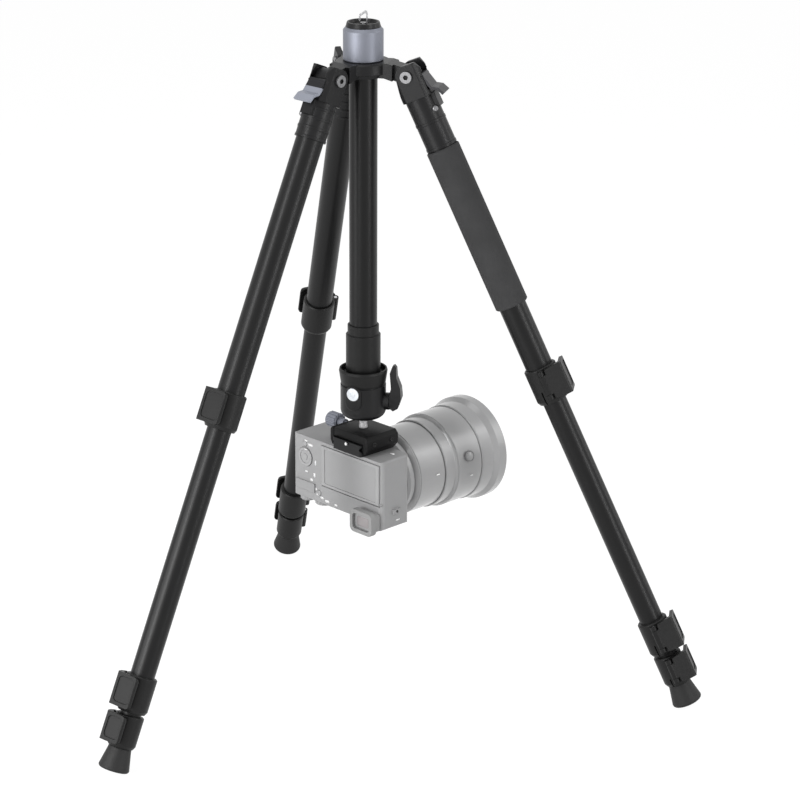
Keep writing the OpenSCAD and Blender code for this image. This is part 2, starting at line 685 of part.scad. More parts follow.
module camera_body() {
    camera_frame() color(shell) {
        difference() {
            union() {
                intersection() {
                    translate([0, 0, top_z - 20]) linear_extrude(body_h + 40) body_plan();
                    translate([0, 0, body_z]) slab(200) body_side();
                }
                translate([0, front_y - 1, lens_z]) rotate([-90, 0, 0]) cylinder(r = mount_r, h = mount_t + 1);
                // thumb rest
                translate([far_x + 5, back_y - 1.6, top_z + 8]) cube([26, 3, 9]);
                // strap lugs
                for (x = [far_x - 2.6, body_near - 0.4]) translate([x, -4, top_z + 8]) cube([3, 8, 5]);
                // accessory shoe rails
                for (s = [-1, 1]) translate([body_near - finder_w - 20 + s * 10.2 - 0.9, -11, top_z - 3.2])
                    cube([1.8, 18, 3.4]);
                for (s = [-1, 1]) translate([body_near - finder_w - 20 + s * 9 - 2, -11, top_z - 3.2])
                    cube([4, 18, 1.2]);
            }
            translate([screen_x, back_y, screen_z]) cube([screen_w + 0.8, 9, screen_h + 0.8], center = true);
            translate([screen_x, 0, 0]) across(screen_w + 5.4) translate(screen_axis) circle(trunnion_r + fit);
            translate([0, 0, body_z - 6.5]) cylinder(r = 3.2, h = 10);
            back_hole(wheel_at, wheel_r + 0.3, 2.4);
            back_hole(menu_at, 2.9, 2.4);
            back_hole(play_at, 2.9, 2.4);
            top_hole(shutter_at, shutter_r + 0.3, 3);
            // bores for the shafts of the dials and the wheel
            translate([wheel_at[0], back_y, wheel_at[1]]) rotate([-90, 0, 0]) cylinder(r = 2 + fit, h = 8);
            top_hole(mode_at, 2 + fit, 8);
            top_hole(exposure_at, 2 + fit, 8);
            for (x = [far_x - 2.6, body_near - 0.4]) translate([x - 1, 0, top_z + 10.5]) rotate([0, 90, 0])
                cylinder(r = 1.4, h = 5);
        }
    }
}
// The screen swings out about two trunnions at its edge beside the viewfinder
screen_out = 0.8;
screen_t = 4;
trunnion_r = 0.9;
screen_axis = [back_y - screen_out + screen_t / 2, screen_z - screen_h / 2 + screen_t / 2];
module across(w) { rotate([90, 0, 90]) linear_extrude(w, center = true) children(); }
module screen() {
    camera_frame() color(trim) translate([screen_x, 0, 0]) {
        difference() {
            across(screen_w) {
                translate(screen_axis) circle(screen_t / 2);
                translate([back_y - screen_out, screen_axis[1]]) square([screen_t, screen_h - screen_t / 2]);
            }
            translate([0, back_y - screen_out + 0.5, screen_z + 0.4]) rotate([90, 0, 0])
                linear_extrude(1) rounded(screen_w - 8, screen_h - 6, 1);
        }
        across(screen_w + 5) translate(screen_axis) circle(trunnion_r);
    }
}
cup_w = 29;
cup_h = 22;
cup_out = 12;
cup_x = body_near - cup_w / 2 - 0.5;
cup_z = top_z - finder_h + cup_h / 2 - 3;
module eyecup() {
    camera_frame() color(rubber) translate([cup_x, back_y - 0.1, cup_z]) rotate([90, 0, 0]) difference() {
        union() {
            linear_extrude(cup_out - 3) rounded(cup_w - 3, cup_h - 4, 4);
            translate([0, 0, cup_out - 6]) linear_extrude(6) rounded(cup_w, cup_h, 5);
        }
        translate([0, 0, cup_out - 3.4]) linear_extrude(5) rounded(cup_w - 7, cup_h - 7, 3.5);
    }
}
module top_dial(at, r, h) {
    camera_frame() color(trim) translate([at[0], at[1], top_z - h - 0.3]) {
        cylinder(r = r - 0.8, h = 1);
        translate([0, 0, 0.8]) fluted(r, h - 0.8, 16, 0.8);
        cylinder(r = 2, h = h + 6);
    }
}
module mode_dial() { top_dial(mode_at, mode_r, 5.2); }
module exposure_dial() { top_dial(exposure_at, exposure_r, 4.4); }
module shutter_button() {
    camera_frame() color(trim) translate([shutter_at[0], shutter_at[1], top_z - 1.6]) {
        cylinder(r1 = shutter_r - 1, r2 = shutter_r, h = 1);
        translate([0, 0, 1]) cylinder(r = shutter_r, h = 1.6);
    }
}
module control_wheel() {
    camera_frame() color(trim) translate([wheel_at[0], back_y, wheel_at[1]]) rotate([-90, 0, 0]) {
        difference() {
            translate([0, 0, -1]) fluted(wheel_r, 3.1, 20, 0.6);
            translate([0, 0, -2]) cylinder(r = 6.4, h = 1.6);
        }
        translate([0, 0, -1]) cylinder(r = 3, h = 2);
        cylinder(r = 2, h = 7);
    }
}
module back_button(at) {
    camera_frame() color(trim) translate([at[0], back_y - 0.7, at[1]]) rotate([-90, 0, 0]) {
        cylinder(r1 = 2.1, r2 = 2.6, h = 0.5);
        translate([0, 0, 0.5]) cylinder(r = 2.6, h = 1.6);
    }
}
module menu_button() { back_button(menu_at); }
module play_button() { back_button(play_at); }

// ---- Lens: distances are counted forwards from its mount ----
module lens_frame() {
    camera_frame() translate([0, front_y + mount_t, lens_z]) rotate([-90, 0, 0]) children();
}
zoom_at = [15, 47];
focus_at = [61, 92];
front_at = 108;
thread_len = 5;
glass_at = lens_len - 13;
module lens_barrel() {
    core_r = barrel_r - 1;
    focus_core_r = zoom_r - 3;
    lens_frame() {
        color(shell) rotate_extrude() polygon([
            [0, 0.1], [mount_r - 0.5, 0.1], [mount_r - 0.5, 3], [barrel_r - 2, 3.4], [barrel_r, 6],
            [barrel_r, zoom_at[0]], [core_r, zoom_at[0]], [core_r, zoom_at[1]],
            [zoom_r + 1, zoom_at[1]], [zoom_r + 1.5, zoom_at[1] + 1], [focus_r - 2.5, focus_at[0] - 1],
            [focus_r - 3, focus_at[0]], [focus_core_r, focus_at[0]], [focus_core_r, focus_at[1]],
            [focus_r, focus_at[1]], [focus_r + 1, focus_at[1] + 1], [focus_r + 1.6, front_at - 2],
            [front_r, front_at + 3], [front_r, lens_len - 1.5], [front_r - 1.5, lens_len],
            [filter_d / 2 + 1, lens_len], [filter_d / 2, lens_len - 1],
            [filter_d / 2, lens_len - 1 - thread_len], [filter_d / 2 - 2.5, lens_len - 1 - thread_len],
            [filter_d / 2 - 5, glass_at], [0, glass_at]]);
        color([0.3, 0.3, 0.35]) translate([0, 0, glass_at + 0.05]) intersection() {
            cylinder(r = filter_d / 2 - 5.4, h = 10);
            translate([0, 0, 5 - 130]) sphere(r = 130);
        }
    }
}
module lens_ring(r, core, span) {
    lens_frame() color(trim) translate([0, 0, span[0] + 0.15]) rotate_extrude() polygon([
        [core + fit, 0], [r - 0.8, 0], [r, 0.8], [r, span[1] - span[0] - 1.1],
        [r - 0.8, span[1] - span[0] - 0.3], [core + fit, span[1] - span[0] - 0.3]]);
}
module zoom_ring() { lens_ring(zoom_r, barrel_r - 1, zoom_at); }
module focus_ring() { lens_ring(focus_r, zoom_r - 3, focus_at); }

for (i = [0:2]) {
    leg = str("leg_", SIDE[i], "_");
    shoulder(i);
    stop_tab(i);
    upper_tube(i);
    upper_clamp(i);
    flip_lever(i, 0);
    middle_section(i);
    flip_lever(i, 1);
    lower_section(i);
    flip_lever(i, 2);
    foot_section(i);
}
foam_grip();  // leg_a_foam_grip
crown();
hinge_bolts();
twist_collar();
column_tube();
column_cap();
weight_hook();
column_socket();
pan_base();
ball_housing();
bubble_level();
ball_lock_lever();
ball();
ball_stem();
clamp_body();
clamp_jaw();
clamp_knob();
release_plate();
camera_body();
screen();
eyecup();
mode_dial();
exposure_dial();
shutter_button();
control_wheel();
menu_button();
play_button();
lens_barrel();
zoom_ring();
focus_ring();
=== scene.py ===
import json
import math

import bmesh
import bpy
from mathutils import Matrix, Vector
from mathutils.bvhtree import BVHTree


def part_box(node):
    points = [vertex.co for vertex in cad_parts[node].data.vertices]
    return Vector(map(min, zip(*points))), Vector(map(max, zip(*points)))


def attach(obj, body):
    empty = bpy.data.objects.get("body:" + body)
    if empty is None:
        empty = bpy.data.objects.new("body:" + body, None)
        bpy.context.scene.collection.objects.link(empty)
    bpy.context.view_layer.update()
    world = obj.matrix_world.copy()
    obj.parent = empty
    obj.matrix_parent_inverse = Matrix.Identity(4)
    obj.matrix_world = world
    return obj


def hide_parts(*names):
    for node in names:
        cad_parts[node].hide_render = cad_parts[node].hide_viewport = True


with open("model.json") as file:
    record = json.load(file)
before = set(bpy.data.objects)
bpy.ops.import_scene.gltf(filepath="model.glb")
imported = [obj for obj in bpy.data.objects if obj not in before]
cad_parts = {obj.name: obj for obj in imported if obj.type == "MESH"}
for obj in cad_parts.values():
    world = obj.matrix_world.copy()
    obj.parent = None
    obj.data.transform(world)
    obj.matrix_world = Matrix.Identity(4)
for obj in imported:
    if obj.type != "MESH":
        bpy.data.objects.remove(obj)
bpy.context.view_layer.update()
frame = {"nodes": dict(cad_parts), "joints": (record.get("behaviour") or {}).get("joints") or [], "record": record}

MM = 0.001
NODES = frame["nodes"]
JOINTS = {joint["name"]: joint for joint in frame["joints"]}
UP = Vector((0, 0, 1))


# ---- Places, worked out from the frame ----
def basis(origin, x, y, z):
    """A matrix from local axes x, y, z at origin to the row frame."""
    turn = Matrix((x, y, z)).transposed().to_4x4()
    return Matrix.Translation(origin) @ turn


def axis_of(joint):
    return Vector(JOINTS[joint]["axis"]).normalized()


def place_of(joint):
    return Vector(JOINTS[joint]["pos_m"])


def leg_basis(leg):
    """X outwards across the leg, Y sideways, Z up along the leg, from the leg's hinge."""
    side = -axis_of(f"leg_{leg}_spread")
    up = -axis_of(f"leg_{leg}_middle_slide")
    return basis(place_of(f"leg_{leg}_spread"), side.cross(up), side, up)


def camera_basis():
    """X along the camera towards its viewfinder end, Y the way the lens looks, Z up."""
    return basis(Vector(), -axis_of("ball_pitch"), -axis_of("camera_slide"), UP)


def lens_basis():
    """Z forwards along the lens axis from the row's vertical, Y down."""
    forward = axis_of("zoom_turn")
    across = -axis_of("ball_pitch")
    start = place_of("zoom_turn")
    start = start - forward * start.dot(forward)
    return basis(start, across, forward.cross(across), forward)


def corners(points):
    """Lowest and highest corner of the box round some points."""
    low = Vector(min(p[k] for p in points) for k in range(3))
    high = Vector(max(p[k] for p in points) for k in range(3))
    return low, high


def extent(node, space):
    """Lowest and highest corner of a CAD node in a local space."""
    back = space.inverted()
    return corners([back @ v.co for v in NODES[node].data.vertices])


def extent_mm(node, space):
    """The same in millimetres."""
    low, high = extent(node, space)
    return low / MM, high / MM


LEGS = {leg: leg_basis(leg) for leg in "abc"}
CAMERA = camera_basis()
LENS = lens_basis()


# ---- Materials ----
# Noise keeps nearly all its values between these two
NOISE_LOW, NOISE_HIGH = 0.3, 0.7
CLOUD_SCALE = 40     # colour clouds to a metre


def new_material(name):
    """A material, its node tree and its shader."""
    material = bpy.data.materials.new(name)
    material.use_nodes = True
    tree = material.node_tree
    return material, tree, tree.nodes["Principled BSDF"]


def add(tree, kind, **inputs):
    """A node with some of its sockets set, underscores standing for blanks."""
    node = tree.nodes.new(kind)
    for key, value in inputs.items():
        node.inputs[key.replace("_", " ")].default_value = value
    return node


def noise(tree, scale, detail=3.0, stretch=None):
    """Noise in the row frame, scale in features per metre, stretched along the row's axes."""
    place = tree.nodes.new("ShaderNodeTexCoord")
    source = place.outputs["Object"]
    if stretch:
        mapping = add(tree, "ShaderNodeMapping", Scale=stretch)
        tree.links.new(source, mapping.inputs["Vector"])
        source = mapping.outputs["Vector"]
    texture = add(tree, "ShaderNodeTexNoise", Scale=scale, Detail=detail)
    tree.links.new(source, texture.inputs["Vector"])
    return texture.outputs["Fac"]


def vary(tree, source, low, high, socket):
    """Maps noise to a span of values on a socket."""
    span = add(tree, "ShaderNodeMapRange", To_Min=low, To_Max=high)
    span.inputs["From Min"].default_value = NOISE_LOW
    span.inputs["From Max"].default_value = NOISE_HIGH
    tree.links.new(source, span.inputs["Value"])
    tree.links.new(span.outputs["Result"], socket)


def tint(tree, shader, source, colour, spread):
    """A colour that varies a little over the surface."""
    ramp = tree.nodes.new("ShaderNodeValToRGB")
    ramp.color_ramp.elements[0].position = NOISE_LOW
    ramp.color_ramp.elements[1].position = NOISE_HIGH
    for stop, factor in zip(ramp.color_ramp.elements, (1 - spread, 1 + spread)):
        stop.color = [min(1, c * factor) for c in colour] + [1]
    tree.links.new(source, ramp.inputs["Fac"])
    tree.links.new(ramp.outputs["Color"], shader.inputs["Base Color"])


def relief(tree, shader, source, depth, edge):
    """Fine bumps on the surface, and edges rounded by a small radius."""
    bevel = add(tree, "ShaderNodeBevel", Radius=edge)
    bevel.samples = 4
    bump = add(tree, "ShaderNodeBump", Strength=0.6, Distance=depth)
    tree.links.new(source, bump.inputs["Height"])
    tree.links.new(bevel.outputs["Normal"], bump.inputs["Normal"])
    tree.links.new(bump.outputs["Normal"], shader.inputs["Normal"])


def finish(name, colour, rough, spread=0.12, grain=2500, depth=0.00005, edge=0.0004,
           stretch=None, **sockets):
    """A surface with colour variation, uneven roughness, fine grain and rounded edges."""
    material, tree, shader = new_material(name)
    cloud = noise(tree, CLOUD_SCALE, 4)
    fine = noise(tree, grain, 2, stretch)
    tint(tree, shader, cloud, colour, spread)
    vary(tree, fine, rough[0], rough[1], shader.inputs["Roughness"])
    relief(tree, shader, fine, depth, edge)
    for key, value in sockets.items():
        shader.inputs[key.replace("_", " ")].default_value = value
    return material


# Black bases are low and hardly specular, because the white studio mirrors in every gloss
MATERIALS = {
    "tube": finish("black anodised tube", (0.004, 0.004, 0.0042), (0.32, 0.38), grain=900,
                   stretch=(6, 6, 0.35), depth=0.00002, Specular_IOR_Level=0.24),
    "casting": finish("black powder coat", (0.006, 0.006, 0.0065), (0.3, 0.42), grain=3500,
                      depth=0.00006, edge=0.0008, Specular_IOR_Level=0.24),
    "clamp": finish("deep black clamp", (0.004, 0.004, 0.0042), (0.44, 0.54), grain=3500,
                    depth=0.00006, edge=0.0006, Specular_IOR_Level=0.13),
    "silver": finish("blue-grey anodised aluminium", (0.19, 0.2, 0.235), (0.42, 0.52),
                     spread=0.04, grain=1800, stretch=(1, 1, 9), depth=0.00002, edge=0.0007,
                     Metallic=0.6),
    "dark_steel": finish("dark grey spring steel", (0.03, 0.03, 0.033), (0.34, 0.46),
                         spread=0.08, grain=1800, depth=0.00003, edge=0.0004, Metallic=0.7),
    "steel": finish("polished steel", (0.5, 0.5, 0.51), (0.2, 0.34), spread=0.08,
                    grain=1500, depth=0.00002, edge=0.0003, Metallic=1.0),
    # The neck: steel with some real gloss, and a light, mostly matt colour that paints in the bright stripe its
    # steel reflects
    "neck": finish("steel neck with painted sheen", (0.7, 0.7, 0.71), (0.34, 0.44), spread=0.06,
                   grain=1500, depth=0.00002, edge=0.0003, Metallic=0.3),
    "bolt": finish("zinc-plated bolt head", (0.2, 0.2, 0.205), (0.3, 0.46), spread=0.16,
                   grain=1200, depth=0.00005, edge=0.0005, Metallic=0.9),
    # Painted shade: near-black for the inside of the bolts' hexagon sockets
    "recess": finish("painted socket shade", (0.01, 0.01, 0.01), (0.5, 0.6), grain=2500,
                     depth=0.00002, edge=0.0002, Specular_IOR_Level=0.2),
    "plastic": finish("black moulded plastic", (0.006, 0.006, 0.006), (0.38, 0.48),
                      grain=4000, depth=0.00006, edge=0.001, Specular_IOR_Level=0.24),
    "foam": finish("closed-cell foam", (0.043, 0.043, 0.044), (0.85, 1.0), spread=0.1,
                   grain=2200, depth=0.0004, edge=0.0008, Specular_IOR_Level=0.25),
    "rubber": finish("black rubber", (0.012, 0.012, 0.012), (0.5, 0.65), grain=2000,
                     depth=0.00012, edge=0.001, Specular_IOR_Level=0.3),
    "level": finish("level window", (0.9, 0.94, 0.98), (0.1, 0.16), spread=0.02,
                    grain=300, Coat_Weight=0.6),
    "vial_ring": finish("printed ring", (0.7, 0.74, 0.82), (0.3, 0.4), spread=0.02),
    "camera": finish("light grey camera shell", (0.29, 0.29, 0.293), (0.5, 0.62),
                     spread=0.03, grain=3800, depth=0.00006, edge=0.001),
    "leather": finish("light grey grip covering", (0.27, 0.27, 0.273), (0.6, 0.75),
                      spread=0.05, grain=1300, depth=0.0005, edge=0.0009),
    "trim": finish("light grey trim", (0.32, 0.32, 0.323), (0.34, 0.46), spread=0.03,
                   grain=2600, depth=0.00004, edge=0.0005),
    "lens": finish("light grey lens barrel", (0.28, 0.28, 0.283), (0.28, 0.34), spread=0.02,
                   grain=2600, depth=0.00002, edge=0.0008, Coat_Weight=1.0,
                   Coat_Roughness=0.24),
    # Painted shade: the darker grey of the ring round the lens's hold button
    "hold_rim_shade": finish("painted shade round the hold button", (0.2, 0.2, 0.203), (0.4, 0.5), spread=0.02),
    "display": finish("display glass", (0.3, 0.3, 0.303), (0.16, 0.22), spread=0.015,
                      grain=200, depth=0.0, edge=0.0002),
    "cup": finish("grey eyecup rubber", (0.27, 0.27, 0.27), (0.65, 0.8), spread=0.04,
                  grain=2400, depth=0.0001, edge=0.001),
    "glass": finish("coated front glass", (0.16, 0.17, 0.22), (0.02, 0.05), spread=0.02,
                    grain=200, depth=0.0, edge=0.0002, Coat_Weight=1.0),
    "ocular": finish("eyepiece glass", (0.27, 0.25, 0.253), (0.12, 0.2), spread=0.05,
                     grain=200, depth=0.0, edge=0.0002),
    # White for print, and for the painted glints on the camera and the lens
    "mark": finish("white print and painted glint", (0.95, 0.95, 0.95), (0.4, 0.5), spread=0.02),
}


SHADE_EDGE_AT = -11.5 * MM      # where the tab's silver ends and the painted shadow of the shoulder begins, along the leg from its hinge
SHADE_EDGE_BLEND = 0.2 * MM     # half the width of the change
# The tab's own silver, and black that paints the shoulder's shadow on the tab's upper part
TAB_SILVER = (0.26, 0.275, 0.32, 1)
SHOULDER_SHADE_BLACK = (0.012, 0.012, 0.014, 1)


def shoulder_shade_finish(name, leg_space):
    """Silver below the edge along the leg; above it, black, the painted shadow of the shoulder on the tab."""
    material, tree, shader = new_material(name)
    place = tree.nodes.new("ShaderNodeTexCoord")
    along = tree.nodes.new("ShaderNodeVectorMath")
    along.operation = "DOT_PRODUCT"
    up = leg_space.to_3x3() @ UP
    along.inputs[1].default_value = up
    tree.links.new(place.outputs["Object"], along.inputs[0])
    at = leg_space.translation.dot(up) + SHADE_EDGE_AT
    step = add(tree, "ShaderNodeMapRange")
    step.inputs["From Min"].default_value = at - SHADE_EDGE_BLEND
    step.inputs["From Max"].default_value = at + SHADE_EDGE_BLEND
    tree.links.new(along.outputs["Value"], step.inputs["Value"])
    ramp = tree.nodes.new("ShaderNodeValToRGB")
    ramp.color_ramp.elements[0].color = TAB_SILVER
    ramp.color_ramp.elements[1].color = SHOULDER_SHADE_BLACK
    tree.links.new(step.outputs["Result"], ramp.inputs["Fac"])
    tree.links.new(ramp.outputs["Color"], shader.inputs["Base Color"])
    fine = noise(tree, 1800, 2)
    vary(tree, fine, 0.4, 0.5, shader.inputs["Roughness"])
    relief(tree, shader, fine, 0.00002, 0.0006)
    shader.inputs["Metallic"].default_value = 0.6
    return material


# Leg c's stop tab: silver, with the shoulder's shadow painted black on its upper part
MATERIALS["tab_shoulder_shade"] = shoulder_shade_finish("stop tab with painted shoulder shade", LEGS["c"])
SLOTS = {
    "tube_black": "tube", "casting_black": "casting", "anodised_silver": "silver",
    "bright_steel": "steel", "black_plastic": "plastic", "foam_grip": "foam",
    "foot_rubber": "rubber", "level_white": "level", "camera_grey": "camera",
    "camera_trim": "trim", "eyecup_rubber": "cup", "display": "display",
}
SLOT_OF = {part["node"]: part["material_slot"] for part in frame["record"]["subparts"]}


def islands(mesh):
    """Groups of faces that hang together, with vertices at one place counted as one."""
    place = {}
    vertex = [place.setdefault(tuple(round(c, 6) for c in v.co), len(place))
              for v in mesh.vertices]
    root = list(range(len(place)))

    def find(k):
        while root[k] != k:
            root[k] = root[root[k]]
            k = root[k]
        return k

    for face in mesh.polygons:
        first = find(vertex[face.vertices[0]])
        for other in face.vertices[1:]:
            root[find(vertex[other])] = first
    groups = {}
    for face in mesh.polygons:
        groups.setdefault(find(vertex[face.vertices[0]]), []).append(face)
    return list(groups.values())


def with_materials(node, names):
    """The node's mesh, with the named materials and no others."""
    mesh = NODES[node].data
    mesh.materials.clear()
    for name in names:
        mesh.materials.append(MATERIALS[name])
    return mesh


def paint(node, name):
    """Gives a whole node one material."""
    for face in with_materials(node, [name]).polygons:
        face.material_index = 0


def cover(node, names, choose, space=Matrix()):
    """Gives each solid of a node its material: choose(low, high corner) picks from names."""
    mesh = with_materials(node, names)
    back = space.inverted()
    for faces in islands(mesh):
        low, high = corners([back @ mesh.vertices[k].co for face in faces
                             for k in face.vertices])
        index = names.index(choose(low, high))
        for face in faces:
            face.material_index = index


def cover_faces(node, names, choose, space=Matrix()):
    """Gives each face of a node its material: choose(centre, normal) picks from names."""
    mesh = with_materials(node, names)
    back = space.inverted()
    turn = back.to_3x3()
    for face in mesh.polygons:
        face.material_index = names.index(choose(back @ face.center, turn @ face.normal))


PIN_WIDTH = 4 * MM         # only steel pins are slimmer
TUBE_LENGTH = 100 * MM     # only tubes are longer
BUSH_REACH = 12 * MM       # the rubber foot reaches further out than the bush
SOCKET_RADIUS = 2.45 * MM  # of the hexagon in a hinge bolt's head
BOLT_HEAD = 12 * MM        # from the leg's middle plane to the heads


def clamp_solids(low, high):
    """Clamp body or bush, and pin."""
    return "steel" if high.x - low.x < PIN_WIDTH else "plastic"


def section_solids(low, high):
    """Tube, bush, clamp body and pin of one leg section."""
    return "tube" if high.z - low.z > TUBE_LENGTH else clamp_solids(low, high)


def foot_solids(low, high):
    """Tube, bush and rubber foot."""
    if high.z - low.z > TUBE_LENGTH:
        return "tube"
    return "rubber" if high.x > BUSH_REACH else "plastic"


def bolt_face(centre, normal):
    """The hexagon socket in each bolt's head is painted dark: painted shade inside the socket."""
    for space in LEGS.values():
        local = space.inverted() @ centre
        if math.hypot(local.x, local.z) < SOCKET_RADIUS and abs(local.y) > BOLT_HEAD:
            return "recess"
    return "bolt"


def dress_nodes():
    """Every node gets its slot's material, and then the solids that differ get theirs."""
    for name, obj in NODES.items():
        obj.data.shade_smooth()
        paint(name, SLOTS[SLOT_OF[name]])
    for leg, space in LEGS.items():
        cover(f"leg_{leg}_upper_clamp", ["plastic", "steel"], clamp_solids, space)
        for section in ("middle", "lower"):
            cover(f"leg_{leg}_{section}_section", ["tube", "plastic", "steel"],
                  section_solids, space)
        cover(f"leg_{leg}_foot_section", ["tube", "rubber", "plastic"], foot_solids, space)
        # Leg c's stop tab is silver with the painted shoulder shadow; the tabs of legs a and b are dark grey all
        # over
        paint(f"leg_{leg}_stop_tab", "tab_shoulder_shade" if leg == "c" else "dark_steel")
    # painted shade in the hexagon sockets of the bolt heads
    cover_faces("hinge_bolts", ["bolt", "recess"], bolt_face)
    low, high = extent("release_plate", CAMERA)
    plate_width = 0.8 * (high.x - low.x)
    cover("release_plate", ["casting", "steel"],
          lambda low, high: "casting" if high.x - low.x > plate_width else "steel", CAMERA)
    low, high = extent("lens_barrel", LENS)
    half = (high.z - low.z) / 2
    cover("lens_barrel", ["lens", "glass"],
          lambda low, high: "lens" if high.z - low.z > half else "glass", LENS)
    for ring in ("zoom_ring", "focus_ring"):
        paint(ring, "lens")


GRIP_WIDTH = 30 * MM       # covering, from the far end inwards
GRIP_MARGIN = 4 * MM       # bare shell between the covering and the base
FRAME_DEPTH = 0.2 * MM     # the screen's glass lies at least this deep in its frame


def dress_camera():
    """Grip covering on the shell, and the glass in the screen's frame."""
    low, high = extent("camera_body", CAMERA)

    def shell(centre, normal):
        on_grip = (centre.x < low.x + GRIP_WIDTH and abs(normal.z) < 0.3
                   and centre.z < high.z - GRIP_MARGIN)
        return "leather" if on_grip and (centre.y > 0 or normal.x < -0.5) else "camera"

    cover_faces("camera_body", ["camera", "leather"], shell, CAMERA)
    glass = extent("screen", CAMERA)[0].y + FRAME_DEPTH

    def panel(centre, normal):
        return "display" if normal.y < -0.9 and centre.y > glass else "trim"

    cover_faces("screen", ["trim", "display"], panel, CAMERA)


# ---- Pieces of the scene, their shapes in millimetres ----
def piece(name, shape, body, material, space=Matrix()):
    """A mesh built in local axes, put in the row frame and tied to a CAD body."""
    mesh = bpy.data.meshes.new(name)
    shape.to_mesh(mesh)
    shape.free()
    mesh.transform(space)
    mesh.update()
    mesh.shade_smooth()
    obj = bpy.data.objects.new(name, mesh)
    bpy.context.scene.collection.objects.link(obj)
    mesh.materials.append(MATERIALS[material])
    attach(obj, body)
    return obj


def loft(loops):
    """A closed form through loops of points in millimetres, capped at both ends."""
    shape = bmesh.new()
    rings = [[shape.verts.new([c * MM for c in point]) for point in loop] for loop in loops]
    for lower, upper in zip(rings, rings[1:]):
        count = len(lower)
        for k in range(count):
            n = (k + 1) % count
            shape.faces.new((lower[k], lower[n], upper[n], upper[k]))
    shape.faces.new(list(reversed(rings[0])))
    shape.faces.new(rings[-1])
    bmesh.ops.recalc_face_normals(shape, faces=shape.faces)
    return shape


def revolve(profile, steps):
    """A surface of revolution about Z from (radius, height) points."""
    turns = [2 * math.pi * k / steps for k in range(steps)]
    return loft([[(radius * math.cos(turn), radius * math.sin(turn), height)
                  for turn in turns] for radius, height in profile])


def rounded_plate(width, height, thick, radius, steps):
    """A plate on Z 0 with round corners of so many steps and a softened upper edge."""
    def outline(shrink, z):
        loop = []
        r = max(radius - shrink, 0.05)
        for cx, cy, start in ((1, 1, 0), (-1, 1, 90), (-1, -1, 180), (1, -1, 270)):
            centre = Vector((cx * (width / 2 - radius), cy * (height / 2 - radius)))
            for k in range(steps + 1):
                turn = math.radians(start + 90 * k / steps)
                point = centre + r * Vector((math.cos(turn), math.sin(turn)))
                loop.append((point.x, point.y, z))
        return loop

    soft = min(thick, radius) / 2
    return loft([outline(0, 0), outline(0, thick - soft),
                 outline(soft * 0.3, thick - soft * 0.3), outline(soft, thick)])


def bar(outline, length, edge):
    """A bar along Y from its cross-section in X and Z, with its edges rounded."""
    shape = loft([[(x, y, z) for x, z in outline] for y in (-length / 2, length / 2)])
    bmesh.ops.bevel(shape, geom=list(shape.edges), offset=edge * MM, segments=2, profile=0.5,
                    affect="EDGES", clamp_overlap=True)
    return shape


def facing(space, point, toward, up=UP):
    """A matrix at a local point whose Z looks along toward and whose Y leans to up."""
    z = Vector(toward).normalized()
    x = Vector(up).cross(z).normalized()
    return space @ basis(Vector(point) * MM, x, z.cross(x), z)


# Directions in the camera's axes: out of the end away from the grip, out of the back and front
SIDEWAYS = (1, 0, 0)
BACKWARDS = (0, -1, 0)
FORWARDS = (0, 1, 0)
MARK_LIFT = 0.02   # a mark lies this much outside its surface

SCREW = [(2.8, -0.6), (2.8, 0.8), (2.4, 1.5), (1.9, 1.9), (1.5, 1.9), (1.5, 1.0), (0.2, 1.0)]
SCREW_TURN = math.radians(-38)   # round the leg from its outer side
SCREW_AT = -35.5                 # along the leg from its hinge
RAY_START = 60                   # from the leg's axis, well outside the leg


def ray_trees(prefix):
    """The solids of one part of the frame, ready to be met by a ray."""
    meshes = [obj.data for name, obj in NODES.items() if name.startswith(prefix)]
    return [BVHTree.FromPolygons([v.co for v in mesh.vertices],
                                 [list(face.vertices) for face in mesh.polygons])
            for mesh in meshes]


def met(trees, start, direction):
    """The first point and normal that a ray meets."""
    hits = [tree.ray_cast(start, direction) for tree in trees]
    hits = [hit for hit in hits if hit[0] is not None]
    return min(hits, key=lambda hit: hit[3])[:2]


def shoulder_screws():
    """The screw at the foot of each leg's shoulder, set square on the surface there."""
    for leg, space in LEGS.items():
        turn = space.to_3x3()
        inward = turn @ Vector((-math.cos(SCREW_TURN), -math.sin(SCREW_TURN), 0))
        centre = space @ (Vector((0, 0, SCREW_AT)) * MM)
        start = centre - inward * RAY_START * MM
        point, normal = met(ray_trees(f"leg_{leg}_"), start, inward)
        across = (turn @ UP).cross(normal).normalized()
        seat = basis(point, across, normal.cross(across), normal)
        piece(f"shoulder_screw_{leg}", revolve(SCREW, 24), f"leg_{leg}", "bolt",
              seat)


LEVEL_RISE = 8 * MM         # the window sits this much above the CAD's
LEVEL_CASE = (16.4, 24.4, 2.2, 8.1, 10)   # width, height, thickness, corners, their steps
CASE_SUNK = 2.4 * MM        # the case's seat, behind the CAD window's face
WINDOW_SUNK = 0.25 * MM     # the window's seat, behind it too
# Name, profile, steps, material and slot of what sits in the case
LEVEL_PARTS = [
    ("level_window", [(6.1, -1), (6.1, 0.2), (5.8, 0.5), (0.2, 0.6)], 48, "level",
     "level_white"),
    ("level_bezel", [(6.2, -1), (7.5, -1), (7.4, 0.3), (7, 0.6), (6.5, 0.6), (6.2, 0.3)], 48,
     "casting", "black_plastic"),
    ("level_ring", [(2.6, 0.4), (2.6, 0.62), (2.3, 0.62), (2.3, 0.4)], 40, "vial_ring",
     "level_white"),
    ("level_bubble", [(1.9, 0.5), (1.7, 0.66), (1.1, 0.76), (0.3, 0.8)], 32, "level",
     "level_white"),
]


